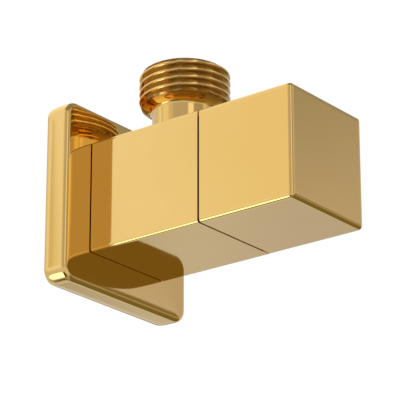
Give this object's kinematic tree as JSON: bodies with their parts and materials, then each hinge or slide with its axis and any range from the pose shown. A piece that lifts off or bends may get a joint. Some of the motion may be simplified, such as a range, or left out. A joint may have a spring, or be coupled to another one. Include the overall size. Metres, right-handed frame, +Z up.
{
  "type": "angle stop valve",
  "caption": "Square quarter-turn angle stop valve in polished gold with a square knob, a square wall flange, a threaded inlet tail and an upright threaded outlet.",
  "frame": {"origin": "on the axis of the inlet, spindle and knob, in the plane of the wall that the flange's rim rests on", "axes": "+Y along the inlet axis into the wall, -Y towards the user through the knob, +Z up the outlet"},
  "size_m": [0.043, 0.0707, 0.0518],
  "materials": {
    "polished_gold": "mirror-polished gold coating on brass",
    "machined_brass": "bare machined brass",
    "stainless_steel": "bright stainless steel",
    "black_rubber": "moulded black rubber",
    "white_ceramic": "lapped white alumina",
    "white_polymer": "white low-friction polymer"
  },
  "bodies": {
    "valve": {"valve_body": "polished_gold", "inlet_strainer": "stainless_steel", "cartridge_housing": "machined_brass", "housing_o_ring": "black_rubber", "seat_seal": "black_rubber", "fixed_ceramic_disc": "white_ceramic", "friction_washer": "white_polymer"},
    "handle": {"knob": "polished_gold", "knob_set_screw": "stainless_steel", "spline_adapter": "machined_brass", "lock_washer": "stainless_steel", "adapter_screw": "stainless_steel", "spindle": "machined_brass", "spindle_circlip": "stainless_steel", "stop_washer": "machined_brass", "spindle_o_ring_inner": "black_rubber", "spindle_o_ring_outer": "black_rubber", "moving_ceramic_disc": "white_ceramic"},
    "flange_grip": {"flange_grip_ring": "black_rubber"},
    "flange": {"wall_flange": "polished_gold"}
  },
  "joints": [
    {"name": "handle_turn", "type": "hinge", "parent": "valve", "child": "handle", "pos_m": [0, -0.0374, 0], "axis": [0, -1, 0], "range_deg": [0, 90]},
    {"name": "flange_slide", "type": "slide", "parent": "valve", "child": "flange_grip", "axis": [0, 1, 0], "range_m": [0, 0.008]},
    {"name": "flange_turn", "type": "hinge", "parent": "flange_grip", "child": "flange", "pos_m": [0, -0.0033, 0], "axis": [0, 1, 0], "continuous": true}
  ]
}
